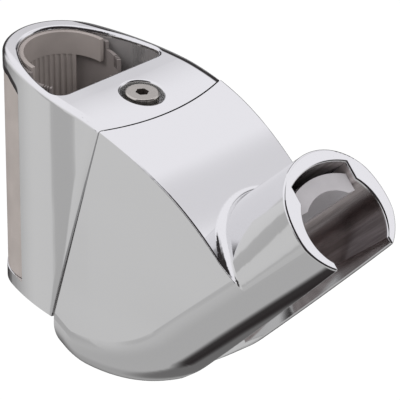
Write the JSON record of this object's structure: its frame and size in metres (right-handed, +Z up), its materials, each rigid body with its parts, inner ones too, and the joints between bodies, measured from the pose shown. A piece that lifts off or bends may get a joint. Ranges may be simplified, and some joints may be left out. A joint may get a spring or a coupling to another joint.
{
  "type": "hand shower holder",
  "caption": "Chromed hand shower holder that slides on a round wall rail, with a tilting cradle that works a brake on the rail and a slotted conical cup for the handset.",
  "frame": {"origin": "on the axis of the rail, at mid-height of the slider", "axes": "+X from the rail to the cup, +Z up along the rail, the middle plane of the holder is Y = 0"},
  "size_m": [0.1166, 0.0418, 0.0795],
  "materials": {
    "chrome": "polished",
    "panel_plastic": "satin",
    "lining_plastic": "satin",
    "guide_plastic": "satin",
    "insert_plastic": "satin",
    "cover_plastic": "satin",
    "shoe_plastic": "satin",
    "pad_rubber": "matt",
    "steel": "bright",
    "block_metal": "as cast",
    "bush_brass": "turned"
  },
  "bodies": {
    "slider": {"slider_housing": "chrome", "rear_panel": "panel_plastic", "guide_sleeve": "lining_plastic", "rear_guide": "guide_plastic", "front_guide": "guide_plastic", "guide_screws": "steel", "pivot_block": "block_metal", "block_dowels": "steel", "top_screw": "steel", "lock_washer": "steel", "hinge_bushes": "bush_brass", "leaf_spring": "steel", "spring_screw": "steel"},
    "cradle": {"cradle": "chrome", "cup_insert": "insert_plastic", "back_cover": "cover_plastic", "hinge_pins": "steel", "adjusting_screw": "steel", "adjusting_nut": "steel"},
    "brake": {"brake_shoe": "shoe_plastic", "brake_pad": "pad_rubber"}
  },
  "joints": [
    {"name": "cradle_tilt", "type": "hinge", "parent": "slider", "child": "cradle", "pos_m": [0.04, 0, 0.0162], "axis": [0, -1, 0], "range_deg": [0, 0.8], "stiffness_Nm_per_rad": 2, "springref_deg": -1.72},
    {"name": "brake_slide", "type": "slide", "parent": "slider", "child": "brake", "axis": [1, 0, 0], "range_m": [0, 0.0004]}
  ],
  "couplings": [
    {"joint": "brake_slide", "follows": "cradle_tilt", "m_per_rad": 0.0282}
  ]
}
